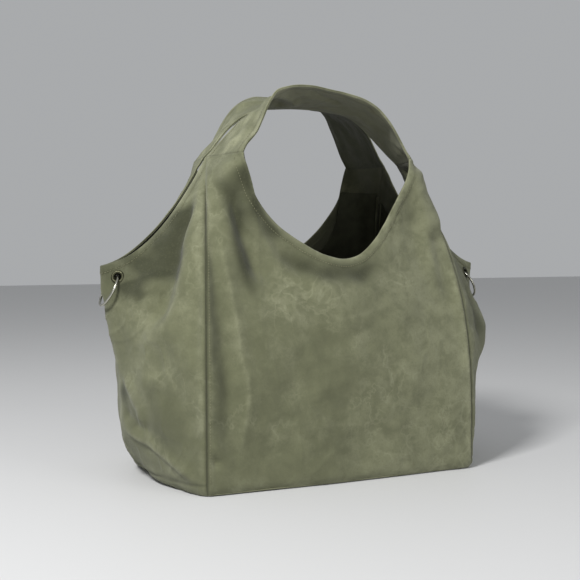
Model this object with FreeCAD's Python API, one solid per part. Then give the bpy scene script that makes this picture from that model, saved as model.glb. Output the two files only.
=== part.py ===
"""Hobo bag of washed canvas, standing empty on its base board.

The frame is +X to the wearer's right hand side of the front panel, the front panel faces -Y, +Z is up,
and the origin is the middle of the base where the bag stands. Lengths are millimetres.

Every panel is one piece of cloth, so each is a surface P(u, v) given a thickness. The front panel runs from
one side seam to the other and curls round at its top corners into two ears. A gusset is folded outwards along
its middle, so its top corner stands out as a wing with an eyelet through each half and a ring through both.
"""

import FreeCAD, Part

import math
import os

from FreeCAD import Vector

# --- cloth -----------------------------------------------------------------------------------------------
CANVAS = 1.6            # outer canvas, with its fused backing
FACING = 0.8            # self-cloth facing inside the openings
LINING = 0.6            # lining cloth
LAYER_GAP = 0.3         # air between one layer and the next
LINING_GAP = 2.2        # how far the lining hangs inside the canvas
LINING_REACH = 0.97     # share of a panel's width that its lining covers, clear of the next panel's

# --- body of the bag -------------------------------------------------------------------------------------
BASE_HALF_WIDTH = 175.0     # to the corner seams
BASE_HALF_DEPTH = 125.0     # to the corner seams
BASE_FRONT_BOW = 5.0        # how far the front's bottom edge bows out past its corners
GUSSET_FOOT = BASE_HALF_WIDTH + 23.0    # x of the gusset's fold where it meets the base
EAR_TOP = 381.0             # height of the seam between an ear and the handle
EAR_SIDE_X = BASE_HALF_WIDTH - 45.0     # the ear's corner at the side seam
EAR_SIDE_Y = 14.0
EAR_TURN_X = EAR_SIDE_X - 14.0          # where the ear's two faces would meet if the turn between them were sharp
EAR_TURN_Y = BASE_HALF_DEPTH - 39.0
EAR_ROUND = 22.0            # how far each way from there the turn reaches
BASE_TURN_X = BASE_HALF_WIDTH - 15.0    # the same turn at the base, where it is all but flat
BASE_TURN_BOW = 1.5         # how far it stands in front of the corner seam there
BASE_ROUND = 8.0
SEAM_X_POWER = 3.5          # how late the side seam draws in towards the ear
SEAM_Y_POWER = 3.3
FRONT_LEANS_FROM = 0.42     # shares of the height between which the front's middle leans in
FRONT_LEANS_TO = 0.95
TURN_LEANS_FROM = 0.25      # and its turns
TURN_LEANS_TO = 0.90

# --- neckline, as (half width, share of its depth) from the ear down to its lowest point ----------------------
NECK_DEPTH = 128.0          # below the ear's top
NECKLINE = [(EAR_TURN_X - 8.0, 0.0), (EAR_TURN_X - 18.0, 0.32), (EAR_TURN_X - 43.0, 0.625),
            (0.336 * EAR_TURN_X, 0.875), (0.0, 1.0)]
NECK_FACING_WIDTH = 38.0
LINING_UNDER_FACING = 8.0

# --- wings -----------------------------------------------------------------------------------------------
WING_TIP_X = BASE_HALF_WIDTH + 83.0
WING_TIP_Z = EAR_TOP - 130.0
BELLY_X = BASE_HALF_WIDTH + 61.0        # the gusset's fold over the lower half of the bag
BELLY_FROM = 0.30           # share of the fold's height where the belly is reached
WING_FROM = 0.45            # shares of the fold's height between which the wing grows
WING_TO = 0.90
FOLD_ROUND = 0.05           # share of half a gusset's width that the fold's curve takes
GUSSET_CROWN = 12.0         # how far each half of a gusset bows out from flat at its foot
WING_CROWN = 7.0            # and along its top edge
WING_SAG = 27.0             # how far the top edge dips below a straight line
WING_FACING_FROM = 0.88     # share of the gusset's height where its facing starts
WING_LINING_TO = 0.895

# --- handle, from the middle to the ear: its rim as (share of the rim's x at the ear, share of its depth,
# --- height above the ear's top), and its inner edge as (share of the ear's corner x, y from it, height) ------
RIM_END_X = EAR_TURN_X - 7.0
RIM_Y = EAR_TURN_Y - 6.0
RIM = [(0.0, 1.0, 80.0), (0.239, 1.0, 79.5), (0.459, 1.0, 76.5), (0.642, 1.0, 66.0), (0.761, 1.006, 43.0),
       (0.872, 1.0125, 18.0), (1.0, 1.0375, 0.0)]
INNER = [(0.0, 0.007, 69.0), (0.215, 0.007, 68.0), (0.423, 0.007, 63.5), (0.6, 0.014, 53.5),
         (0.746, 0.143, 37.0), (0.869, 0.607, 20.0), (1.0, 1.0, 0.0)]
STRAP_CROWN = 4.0           # how far a leg bows outwards where it meets the ear
STRAP_LINING = 1.2

# --- base board ------------------------------------------------------------------------------------------
BOARD = 3.0
BOARD_MARGIN = 9.0          # from the board's edge to the corner seams
BOARD_CORNER = 18.0
LINING_LIFT = 4.0           # the side linings start this far above the base lining

# --- eyelets and rings ------------------------------------------------------------------------------------
EYELET_U = 0.19             # where the eyelet is on its half gusset, from the fold to the seam
EYELET_V = 0.925            # and from the base to the top edge
RING_WIRE = 3.0
RING_CLEARANCE = 3.0        # all round the ring's wire, so that it can turn through both leaning eyelets
EYELET_BORE_R = RING_WIRE / 2.0 + RING_CLEARANCE
EYELET_WALL = 0.45
EYELET_FLANGE_R = 8.0
EYELET_CROWN = 1.1          # height of the flange over the cloth
EYELET_CURL = 1.0           # how far the barrel's end is rolled out over the washer
CLOTH_CLEARANCE = 0.05      # round the barrel
WASHER_R = 7.4
WASHER = 0.6
RING_INSIDE = 37.0
RING_REST_GAP = 1.0         # between a hanging ring and the fold that it rests on
RING_SPLIT = 0.4            # the butt joint in the ring's wire
RING_SPLIT_TURN = 50.0      # degrees from the lowest point of the hanging ring to that joint

ACROSS_X = Vector(1, 0, 0)
ACROSS_Y = Vector(0, 1, 0)
UP = Vector(0, 0, 1)
ORIGIN = Vector(0, 0, 0)


def mix(a, b, t):
    """The value a share t of the way from a to b."""
    return a + (b - a) * t


def even(first, last, count):
    """Evenly spaced values, both ends included."""
    return [mix(first, last, k / (count - 1)) for k in range(count)]


def ease(t):
    """A smooth step from 0 to 1."""
    t = min(max(t, 0.0), 1.0)
    return t * t * (3.0 - 2.0 * t)


def arch(t):
    """0 at both ends and 1 in the middle."""
    return 4.0 * t * (1.0 - t)


# ------------------------------------------------------------------------------------- surfaces of the cloth
def side_seam(v):
    """The front right seam from the base (v = 0) to the ear (v = 1)."""
    x = mix(BASE_HALF_WIDTH, EAR_SIDE_X, v ** SEAM_X_POWER)
    y = mix(BASE_HALF_DEPTH, EAR_SIDE_Y, v ** SEAM_Y_POWER)
    return Vector(x, -y, mix(CANVAS, EAR_TOP, v))


def front(u, v):
    """Front panel: u from -1 at the left seam to 1 at the right seam, v from 0 at the base to 1 at the ears.

    In plan it is a run to the turn, bowed outwards, then the rounded turn and a straight run back to the seam.
    """
    seam = side_seam(v)
    lean = ease((v - FRONT_LEANS_FROM) / (FRONT_LEANS_TO - FRONT_LEANS_FROM))
    middle = mix(BASE_HALF_DEPTH + BASE_FRONT_BOW, EAR_TURN_Y, lean)
    turn_lean = ease((v - TURN_LEANS_FROM) / (TURN_LEANS_TO - TURN_LEANS_FROM))
    turn_y = mix(BASE_HALF_DEPTH + BASE_TURN_BOW, EAR_TURN_Y, turn_lean)
    turn = Vector(mix(BASE_TURN_X, EAR_TURN_X, v * v), -turn_y, seam.z)
    start = Vector(0.0, turn.y, seam.z)
    first = (turn - start).Length
    second = (seam - turn).Length
    room = min(mix(BASE_ROUND, EAR_ROUND, v), 0.9 * second)
    s = abs(u) * (first + second)
    if s <= first - room:
        p = start + (turn - start) * (s / first)
    elif s >= first + room:
        p = turn + (seam - turn) * ((s - first) / second)
    else:
        t = (s - first + room) / (2.0 * room)
        before = turn + (start - turn) * (room / first)
        after = turn + (seam - turn) * (room / second)
        p = before * (1 - t) ** 2 + turn * (2 * t * (1 - t)) + after * t ** 2
    p.y -= (middle + turn.y) * (1.0 - min(s / first, 1.0) ** 2) ** 2
    return Vector(math.copysign(p.x, u), p.y, p.z)


def fold_line(v):
    """The fold down the middle of the right gusset, from the base (v = 0) to the wing's tip (v = 1)."""
    rise = min(v / BELLY_FROM, 1.0)
    x = mix(GUSSET_FOOT, BELLY_X, 1.0 - (1.0 - rise) ** 2)
    x += (WING_TIP_X - BELLY_X) * ease((v - WING_FROM) / (WING_TO - WING_FROM))
    return Vector(x, 0.0, mix(CANVAS, WING_TIP_Z, v))


def gusset(u, v):
    """Right gusset: u from -1 at the front seam, through 0 at the fold, to 1 at the back seam, v upwards.

    Each half is a straight run from the seam to the fold, bowed outwards, with the fold itself rounded.
    """
    seam = side_seam(v)
    fold = fold_line(v)
    away = (math.hypot(u, FOLD_ROUND) - FOLD_ROUND) / (math.hypot(1.0, FOLD_ROUND) - FOLD_ROUND)
    run = math.hypot(fold.x - seam.x, seam.y)
    bow = mix(GUSSET_CROWN, WING_CROWN, v)
    x = mix(fold.x, seam.x, away) + bow * arch(away) * abs(seam.y) / run
    y = abs(seam.y) * abs(u) + bow * arch(abs(u)) * (fold.x - seam.x) / run
    z = mix(fold.z, seam.z, away) - WING_SAG * v * v * arch(away)
    return Vector(x, math.copysign(y, u), z)


STRAP_STEPS = 24


def through(shares, end_x, end_y):
    """Points at even steps on a smooth curve from the left ear to the right, from the shares of half of it."""
    half = [Vector(x * end_x, -y * end_y, EAR_TOP + h) for x, y, h in shares]
    curve = Part.BSplineCurve()
    curve.interpolate([Vector(-p.x, p.y, p.z) for p in half[:0:-1]] + half)
    return [curve.value(t) for t in even(curve.FirstParameter, curve.LastParameter, STRAP_STEPS + 1)]


RIM_LINE = through(RIM, RIM_END_X, RIM_Y)
INNER_LINE = through(INNER, EAR_SIDE_X, EAR_SIDE_Y)


def strap(u, v):
    """Front half of the handle: u from -1 at the left ear to 1 at the right, v from its inner edge to its rim."""
    k = round((u + 1.0) / 2.0 * STRAP_STEPS)
    p = INNER_LINE[k] + (RIM_LINE[k] - INNER_LINE[k]) * v
    p.x += math.copysign(STRAP_CROWN * arch(v) * ease(2.0 * abs(u) - 1.0), u)
    return p


# ---------------------------------------------------------------------------------------- from cloth to solid
FINE = (0.01, 0.01)
STRAP_FINE = (2.0 / STRAP_STEPS, 0.1)


def normal(surface, u, v, step):
    """The surface's unit normal at (u, v), from the differences of near points."""
    def at(du, dv):
        return surface(min(max(u + du, -1.0), 1.0), min(max(v + dv, 0.0), 1.0))
    across = at(step[0], 0.0) - at(-step[0], 0.0)
    upwards = at(0.0, step[1]) - at(0.0, -step[1])
    return across.cross(upwards).normalize()


def face_through(surface, us, vs, inset, step):
    """A smooth face through points of the surface, each moved inwards by inset."""
    rows = [[surface(u, v) - normal(surface, u, v, step) * inset for v in vs] for u in us]
    face = Part.BSplineSurface()
    face.interpolate(rows)
    return face


def sheet(surface, us, vs, near, far, step=FINE):
    """A closed solid between two insets of the surface, with ruled faces round its edge."""
    faces = [face_through(surface, us, vs, inset, step) for inset in (near, far)]
    u0, u1, v0, v1 = faces[0].bounds()
    rims = [
        Part.makeRuledSurface(faces[0].uIso(u0).toShape(), faces[1].uIso(u0).toShape()),
        Part.makeRuledSurface(faces[0].uIso(u1).toShape(), faces[1].uIso(u1).toShape()),
        Part.makeRuledSurface(faces[0].vIso(v0).toShape(), faces[1].vIso(v0).toShape()),
        Part.makeRuledSurface(faces[0].vIso(v1).toShape(), faces[1].vIso(v1).toShape()),
    ]
    shell = Part.makeShell([faces[0].toShape(), faces[1].toShape()] + rims)
    shell.sewShape()
    solid = Part.makeSolid(Part.Shell(shell.Faces))
    if solid.Volume < 0:
        solid.reverse()
    return solid


def mirrored(shape, axis):
    """The shape's mirror image in the plane through the origin that axis stands on."""
    return shape.mirror(ORIGIN, axis)


US_FRONT = even(-1.0, 1.0, 33)
US_GUSSET = even(-1.0, 1.0, 33)
US_STRAP = even(-1.0, 1.0, STRAP_STEPS + 1)
VS_STRAP = even(0.0, 1.0, 5)
PANEL_ROWS = 18


def neckline_tool(drop, half_width):
    """A block that cuts the neckline's shape, lowered by drop, out of the front, and all above it."""
    low = [Vector(x, 0, EAR_TOP - share * NECK_DEPTH - drop) for x, share in NECKLINE]
    points = [Vector(-p.x, 0, p.z) for p in low] + low[-2::-1]
    curve = Part.BSplineCurve()
    curve.interpolate(points)
    left, right = points[0], points[-1]
    corners = [Vector(right.x, 0, EAR_TOP + 1.0), Vector(left.x, 0, EAR_TOP + 1.0)]
    lines = [Part.makeLine(a, b) for a, b in zip([right] + corners, corners + [left])]
    far = 2.0 * BASE_HALF_DEPTH
    block = Part.Face(Part.Wire([curve.toShape()] + lines)).extrude(Vector(0, -far, 0))
    if half_width > right.x:
        corner = Vector(-half_width, -far, left.z)
        block = block.fuse(Part.makeBox(2.0 * half_width, far, drop + 1.0, corner))
    return block


CANVAS_TO_FACING = CANVAS + LAYER_GAP
FACING_BACK = CANVAS_TO_FACING + FACING
LINING_INSET = CANVAS + LINING_GAP


def make_front():
    """The front panel, its facing along the neckline and ears, and its lining."""
    rows = even(0.0, 1.0, PANEL_ROWS)
    opening = neckline_tool(0.0, 0.0)
    panel = sheet(front, US_FRONT, rows, 0.0, CANVAS).cut(opening)
    band = neckline_tool(NECK_FACING_WIDTH, BASE_HALF_WIDTH)
    facing = sheet(front, US_FRONT, rows, CANVAS_TO_FACING, FACING_BACK).cut(opening).common(band)
    lining_rows = even(LINING_FROM, LINING_REACH, PANEL_ROWS)
    lining_us = even(-LINING_REACH, LINING_REACH, len(US_FRONT))
    lining = sheet(front, lining_us, lining_rows, LINING_INSET, LINING_INSET + LINING)
    lining = lining.cut(neckline_tool(NECK_FACING_WIDTH - LINING_UNDER_FACING, BASE_HALF_WIDTH))
    return {"front_panel": panel, "front_neck_facing": facing, "front_lining": lining}


BASE_LINING_TOP = CANVAS + BOARD + LAYER_GAP + LINING
LINING_FROM = (BASE_LINING_TOP + LINING_LIFT - CANVAS) / (EAR_TOP - CANVAS)


def eyelet_frame(half):
    """Place and outward direction of the right wing's eyelet on its front (-1) or back (1) half."""
    u = half * EYELET_U
    direction = normal(gusset, u, EYELET_V, FINE)
    return FreeCAD.Placement(gusset(u, EYELET_V), FreeCAD.Rotation(UP, direction))


def placed(shape, frame):
    moved = shape.copy()
    moved.Placement = frame.multiply(moved.Placement)
    return moved


def make_right_gusset():
    """The right gusset, its facing along the top edge and its lining, with the eyelets' holes."""
    shapes = {
        "gusset": sheet(gusset, US_GUSSET, even(0.0, 1.0, PANEL_ROWS), 0.0, CANVAS),
        "gusset_facing": sheet(gusset, US_GUSSET, even(WING_FACING_FROM, 1.0, 4), CANVAS_TO_FACING, FACING_BACK),
        "gusset_lining": sheet(gusset, even(-LINING_REACH, LINING_REACH, len(US_GUSSET)),
                               even(LINING_FROM * EAR_TOP / WING_TIP_Z, WING_LINING_TO, PANEL_ROWS),
                               LINING_INSET, LINING_INSET + LINING),
    }
    hole_r = EYELET_BORE_R + EYELET_WALL + CLOTH_CLEARANCE
    deep = 3.0 * FACING_BACK
    for half in (-1, 1):
        hole = placed(Part.makeCylinder(hole_r, deep, Vector(0, 0, -deep / 2.0)), eyelet_frame(half))
        for name in ("gusset", "gusset_facing"):
            shapes[name] = shapes[name].cut(hole)
    return shapes


def make_strap():
    """The front half of the handle, outer cloth and lining."""
    outer = sheet(strap, US_STRAP, VS_STRAP, 0.0, -CANVAS, STRAP_FINE)
    inner = sheet(strap, US_STRAP, VS_STRAP, -CANVAS, -CANVAS - STRAP_LINING, STRAP_FINE)
    return {"front_strap": outer, "front_strap_lining": inner}


def outline_edge(surface, us):
    curve = Part.BSplineCurve()
    curve.interpolate([Vector(p.x, p.y, 0.0) for p in (surface(u, 0.0) for u in us)])
    return curve.toShape()


def make_base():
    """The base panel under the walls, the board that keeps it flat, and the lining over the board."""
    edges = [outline_edge(front, US_FRONT), outline_edge(gusset, US_GUSSET)]
    edges += [mirrored(edges[0], ACROSS_Y), mirrored(edges[1], ACROSS_X)]
    outline = Part.Wire(Part.sortEdges(edges)[0])
    panel = Part.Face(outline).extrude(UP * CANVAS)
    half = Vector(BASE_HALF_WIDTH - BOARD_MARGIN, BASE_HALF_DEPTH - BOARD_MARGIN, 0)
    board = rounded_plate(half, BOARD_CORNER, CANVAS, BOARD)
    lining = rounded_plate(half, BOARD_CORNER, CANVAS + BOARD + LAYER_GAP, LINING)
    return {"base_panel": panel, "base_board": board, "base_lining": lining}


def rounded_plate(half, corner, bottom, thickness):
    """A plate with rounded corners, centred on the origin."""
    block = Part.makeBox(2.0 * half.x, 2.0 * half.y, thickness, Vector(-half.x, -half.y, bottom))
    upright = [e for e in block.Edges if abs(e.Vertexes[0].Z - e.Vertexes[-1].Z) > thickness / 2.0]
    return block.makeFillet(corner, upright)


def make_eyelet():
    """A domed eyelet with its barrel rolled over a flat washer, with the cloth's outer face at z = 0."""
    outer_r = EYELET_BORE_R + EYELET_WALL
    washer_top = -FACING_BACK
    washer_low = washer_top - WASHER
    end = washer_low - EYELET_WALL
    top = Vector((EYELET_BORE_R + EYELET_FLANGE_R) / 2.0, 0, EYELET_CROWN)
    rim = Vector(EYELET_FLANGE_R, 0, 0)
    mouth = Vector(EYELET_BORE_R, 0, EYELET_WALL)
    down = [mouth, Vector(EYELET_BORE_R, 0, end), Vector(outer_r + EYELET_CURL, 0, end),
            Vector(outer_r + EYELET_CURL, 0, washer_low), Vector(outer_r, 0, washer_low),
            Vector(outer_r, 0, 0), rim]
    profile = [Part.makeLine(a, b) for a, b in zip(down, down[1:])]
    profile.append(Part.Arc(rim, top, mouth).toShape())
    eyelet = Part.Face(Part.Wire(profile)).revolve(ORIGIN, UP, 360)
    ring = Part.makeCylinder(WASHER_R, WASHER, Vector(0, 0, washer_low))
    washer = ring.cut(Part.makeCylinder(outer_r, WASHER, Vector(0, 0, washer_low)))
    return eyelet, washer


def ring_hinge():
    """The line through the right wing's two eyelets, as the point midway, and half their distance."""
    place = gusset(-EYELET_U, EYELET_V)
    place -= normal(gusset, -EYELET_U, EYELET_V, FINE) * (FACING_BACK / 2.0)
    return Vector(place.x, 0.0, place.z), abs(place.y)


def make_right_ring():
    """The ring through the right eyelets, hanging against the wing's fold."""
    hinge, half_gap = ring_hinge()
    wire_r = RING_WIRE / 2.0
    radius = RING_INSIDE / 2.0 + wire_r
    to_centre = math.sqrt(radius ** 2 - half_gap ** 2)
    reach = to_centre + radius - wire_r - RING_REST_GAP
    low, high = 0.5, 1.0
    for _ in range(40):
        v = (low + high) / 2.0
        if (fold_line(v) - hinge).Length > reach:
            low = v
        else:
            high = v
    hang = (fold_line(high) - hinge).normalize()
    centre = hinge + hang * to_centre
    ring = Part.makeTorus(radius, wire_r, centre, hang.cross(ACROSS_Y))
    gap = Part.makeBox(RING_SPLIT, 4.0 * wire_r, 4.0 * wire_r, Vector(0, -2.0 * wire_r, -2.0 * wire_r))
    cos, sin = math.cos(math.radians(RING_SPLIT_TURN)), math.sin(math.radians(RING_SPLIT_TURN))
    spot = centre + (hang * cos + ACROSS_Y * sin) * radius
    along_wire = ACROSS_Y * cos - hang * sin
    gap.Placement = FreeCAD.Placement(spot, FreeCAD.Rotation(ACROSS_X, along_wire))
    return ring.cut(gap)


def add(parts, name, shape):
    """Keeps one solid under its node's name."""
    solids = shape.Solids
    if len(solids) != 1 or not solids[0].isValid():
        raise ValueError(f"{name} isn't one sound solid")
    parts[name] = solids[0]


def main():
    parts = {}
    for name, shape in {**make_front(), **make_strap()}.items():
        add(parts, name, shape)
        add(parts, name.replace("front", "back"), mirrored(shape, ACROSS_Y))
    for name, shape in make_base().items():
        add(parts, name, shape)
    for name, shape in make_right_gusset().items():
        add(parts, f"right_{name}", shape)
        add(parts, f"left_{name}", mirrored(shape, ACROSS_X))
    eyelet, washer = make_eyelet()
    for half, side in ((-1, "front"), (1, "back")):
        for name, shape in (("eyelet", eyelet), ("eyelet_washer", washer)):
            right = placed(shape, eyelet_frame(half))
            add(parts, f"right_{side}_{name}", right)
            add(parts, f"left_{side}_{name}", mirrored(right, ACROSS_X))
    ring = make_right_ring()
    add(parts, "right_ring", ring)
    add(parts, "left_ring", mirrored(ring, ACROSS_X))
    os.makedirs("parts", exist_ok=True)
    for name, solid in parts.items():
        solid.exportStep(f"parts/{name}.step")
    hinge, half_gap = ring_hinge()
    print(f"{len(parts)} nodes; right ring turns about Y through x = {hinge.x:.3f}, z = {hinge.z:.3f};"
          f" eyelets {2.0 * half_gap:.1f} mm apart")


main()
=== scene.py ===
"""A hobo bag of washed olive canvas, standing empty on its base board.

Two soft panels meet two gussets at four corner seams. Each gusset is folded outwards and ends in a wing
whose two halves are held by eyelets and a ring. The panels' ears rise into a wide handle of two straps
that part into legs. Lengths are metres. Every cloth piece is a surface of two parameters worked out as
whole arrays, then given its thickness, its hems and its folds.
"""

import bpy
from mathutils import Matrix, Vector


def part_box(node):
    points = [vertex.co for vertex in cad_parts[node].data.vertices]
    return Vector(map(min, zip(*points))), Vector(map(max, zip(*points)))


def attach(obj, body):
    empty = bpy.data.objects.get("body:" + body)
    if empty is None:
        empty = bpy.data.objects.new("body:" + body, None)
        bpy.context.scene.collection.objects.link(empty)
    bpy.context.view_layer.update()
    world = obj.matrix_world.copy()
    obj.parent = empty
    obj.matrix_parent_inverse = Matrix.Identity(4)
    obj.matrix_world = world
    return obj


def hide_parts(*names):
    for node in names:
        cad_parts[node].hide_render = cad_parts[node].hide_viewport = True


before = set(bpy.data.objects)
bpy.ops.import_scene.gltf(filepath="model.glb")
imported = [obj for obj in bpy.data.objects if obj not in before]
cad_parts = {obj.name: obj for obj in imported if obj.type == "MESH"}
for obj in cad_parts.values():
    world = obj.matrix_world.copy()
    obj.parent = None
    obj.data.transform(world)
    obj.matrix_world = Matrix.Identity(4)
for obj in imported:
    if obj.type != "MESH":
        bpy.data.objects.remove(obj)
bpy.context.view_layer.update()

import math

import bpy
import numpy as np
from mathutils import Vector

# ------------ cloth
CANVAS = 0.0016
FACING = 0.0008
LINING = 0.0006
LAYER_GAP = 0.0003
LINING_GAP = 0.0022
STRAP_LINING = 0.0012

# ------------ body of the bag
BASE_HALF_WIDTH = 0.175
BASE_HALF_DEPTH = 0.125
BASE_FRONT_BOW = 0.005
GUSSET_FOOT = 0.198
EAR_TOP = 0.381
EAR_SIDE_X = 0.130
EAR_SIDE_Y = 0.014
LEFT_EAR_Y = 0.0055         # the left ears stand nearer each other than the right ones
RIGHT_EAR_Y = 0.017
EAR_TURN_X = 0.116
EAR_TURN_Y = 0.086
EAR_ROUND = 0.022
BASE_TURN_X = 0.160
BASE_TURN_BOW = 0.0015
BASE_ROUND = 0.008
WING_TIP_X = 0.258
WING_TIP_Z = 0.251
BELLY_X = 0.236
FOLD_ROUND = 0.05
GUSSET_CROWN = 0.012
WING_CROWN = 0.007
WING_SAG = 0.027
EYELET_U = 0.19
EYELET_V = 0.925
HOLE_R = 0.0051
NECK_FACING_WIDTH = 0.038
LINING_UNDER_FACING = 0.008
HEM = 0.0085                # from a hem's edge to its stitching
BOTTOM_ROLL = 0.009         # height over which the walls turn in under the bag
BOTTOM_TUCK = 0.0035        # and how far in they turn
PANEL_REACH = 0.18          # along a panel from its middle to a seam
GUSSET_REACH = 0.14         # along a gusset from its fold to a seam
STRAP_REACH = 0.165         # along the handle from its top to its ends
SEAM_TOP = 0.352            # the corner seams' creases fade below this height
LINING_FOOT = 0.0107        # from the walls' foot up to where their linings start

# Necklines from the left ear to the right, as x and depth below the ear's top.
FRONT_NECK = [(-108, 0), (-106.5, 14), (-103, 34), (-91, 60), (-73, 83), (-50, 101), (-25, 116), (0, 122),
              (23, 118), (44, 104), (66, 81), (87, 51), (99, 30), (105, 13), (108, 0)]
BACK_NECK = [(-108, 0), (-98, 41), (-73, 80), (-39, 112), (0, 128), (39, 112), (73, 80), (98, 41),
             (108, 0)]

# Rims and inner edges of the handle's two straps from the left ear to the right, in millimetres.
FRONT_RIM = [(-109, -83, 381), (-105, -82, 392), (-97, -81, 405), (-89, -80, 421), (-80, -80, 440),
             (-70, -80, 453), (-54, -80, 458), (-22, -80, 460), (0, -80, 457), (22, -80, 454),
             (46, -80, 449), (65, -80, 440), (82, -80, 424), (94, -81, 406), (104, -82, 390),
             (109, -83, 381)]
BACK_RIM = [(-109, 83, 381), (-101, 82, 391), (-93, 81, 402), (-83, 80, 421), (-71, 80, 440),
            (-56, 80, 456), (-34, 80, 467), (0, 80, 467), (34, 80, 466), (60, 80, 461), (73, 80, 452),
            (84, 80, 432), (94, 81, 411), (101, 82, 395), (109, 83, 381)]
INNER = [(-130, 5.5, 381), (-121, 5.0, 390), (-110, 8.0, 403), (-95, 10.5, 420), (-80, 9.0, 433),
         (-66, 4.0, 441), (-52, 0.5, 446), (-36, 0.15, 448), (0, 0.15, 450), (38, 0.15, 448),
         (65, 0.15, 443), (82, 0.4, 433), (97, 2.2, 419), (111, 8.5, 402), (121, 13.5, 390),
         (130, 17, 381)]


# ------------ plain maths
def mix(a, b, t):
    """The value a share t of the way from a to b."""
    return a + (b - a) * t


def ease(t):
    """A smooth step: 3t squared less 2t cubed, held at 0 and 1."""
    t = np.clip(t, 0.0, 1.0)
    return t * t * (3.0 - 2.0 * t)


def arch(t):
    """0 at both ends and 1 in the middle: 4t(1 - t)."""
    return 4.0 * t * (1.0 - t)


def point(x, y, z):
    """Three arrays as one array of points."""
    return np.stack(np.broadcast_arrays(x, y, z), -1).astype(float)


def length(p):
    return np.sqrt((p * p).sum(-1))


def unit(p):
    return p / np.maximum(length(p), 1e-12)[..., None]


def mirror(grid, axis):
    """A grid's mirror image across one axis, its columns taken from the other end so that it still faces
    outwards."""
    flip = np.ones(3)
    flip[axis] = -1.0
    return grid[::-1] * flip


def smooth_line(points, count):
    """Points at even distances on a cubic through all the given ones: each stretch is a Hermite curve
    whose slope at a point is that between its two neighbours."""
    p = np.asarray(points, float)
    t = np.concatenate([[0.0], np.cumsum(length(np.diff(p, axis=0)))])
    slope = np.gradient(p, t, axis=0)
    at = np.linspace(0.0, t[-1], 40 * len(p))
    k = np.clip(np.searchsorted(t, at, side="right") - 1, 0, len(p) - 2)
    gap = (t[k + 1] - t[k])[:, None]
    s = ((at - t[k])[:, None]) / gap
    fine = ((1 + 2 * s) * (1 - s) ** 2 * p[k] + s * (1 - s) ** 2 * gap * slope[k]
            + s * s * (3 - 2 * s) * p[k + 1] - s * s * (1 - s) * gap * slope[k + 1])
    run = np.concatenate([[0.0], np.cumsum(length(np.diff(fine, axis=0)))])
    even = np.linspace(0.0, run[-1], count)
    return np.stack([np.interp(even, run, fine[:, c]) for c in range(fine.shape[1])], -1)


def from_line(a, b, path):
    """Distance of the points (a, b) from a line of straight runs, positive on its left hand side and
    negative on its right, and how far along it the nearest point is, 0 to 1."""
    path = np.asarray(path, float)
    start, run = path[:-1], np.diff(path, axis=0)
    size = np.maximum((run * run).sum(-1), 1e-12)
    da, db = a[..., None] - start[:, 0], b[..., None] - start[:, 1]
    t = np.clip((da * run[:, 0] + db * run[:, 1]) / size, 0.0, 1.0)
    away = np.hypot(da - t * run[:, 0], db - t * run[:, 1])
    k = away.argmin(-1)
    away = np.copysign(away, run[:, 0] * db - run[:, 1] * da)
    seg = np.sqrt(size)
    before = np.concatenate([[0.0], np.cumsum(seg)])
    here = np.take_along_axis(t, k[..., None], -1)[..., 0]
    return np.take_along_axis(away, k[..., None], -1)[..., 0], (before[k] + here * seg[k]) / before[-1]


def folds(a, b, made):
    """Height of soft folds. Each is a line in millimetres, its widths on the left and right hand sides
    and its height: a bell across the line that fades to nothing at its ends."""
    total = np.zeros(np.shape(a))
    for path, left, right, height in made:
        away, along = from_line(a * 1000.0, b * 1000.0, path)
        across = away / np.where(away > 0.0, left, right)
        total += height / 1000.0 * np.exp(-across ** 2) * ease(along / 0.22) * ease((1.0 - along) / 0.22)
    return total


def waves(p, size, seed, count=36):
    """Smooth random relief of about unit height: the sum of sine waves near one wavelength, in seeded
    directions."""
    rng = np.random.default_rng(seed)
    k = unit(rng.normal(size=(count, 3))) * (2.0 * math.pi / size * rng.uniform(0.6, 1.6, (count, 1)))
    phase = rng.uniform(0.0, 2.0 * math.pi, count)
    return np.sin(p @ k.T + phase).sum(-1) / math.sqrt(count / 2.0)


def creases(p, size, seed):
    """A net of narrow ridges, highest where one random relief crosses zero and another lets it show."""
    return np.exp(-np.abs(waves(p, size, seed)) / 0.22) * ease(0.5 + 0.7 * waves(p, 2.3 * size, seed + 1))


# ------------ surfaces of the cloth
def side_seam(v, ear_y=EAR_SIDE_Y):
    """The front right seam from the base to the ear: it draws in late, as powers of v."""
    x = mix(BASE_HALF_WIDTH, EAR_SIDE_X, v ** 3.5)
    y = mix(BASE_HALF_DEPTH, ear_y, v ** 3.3)
    return point(x, -y, mix(CANVAS, EAR_TOP, v))


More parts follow.
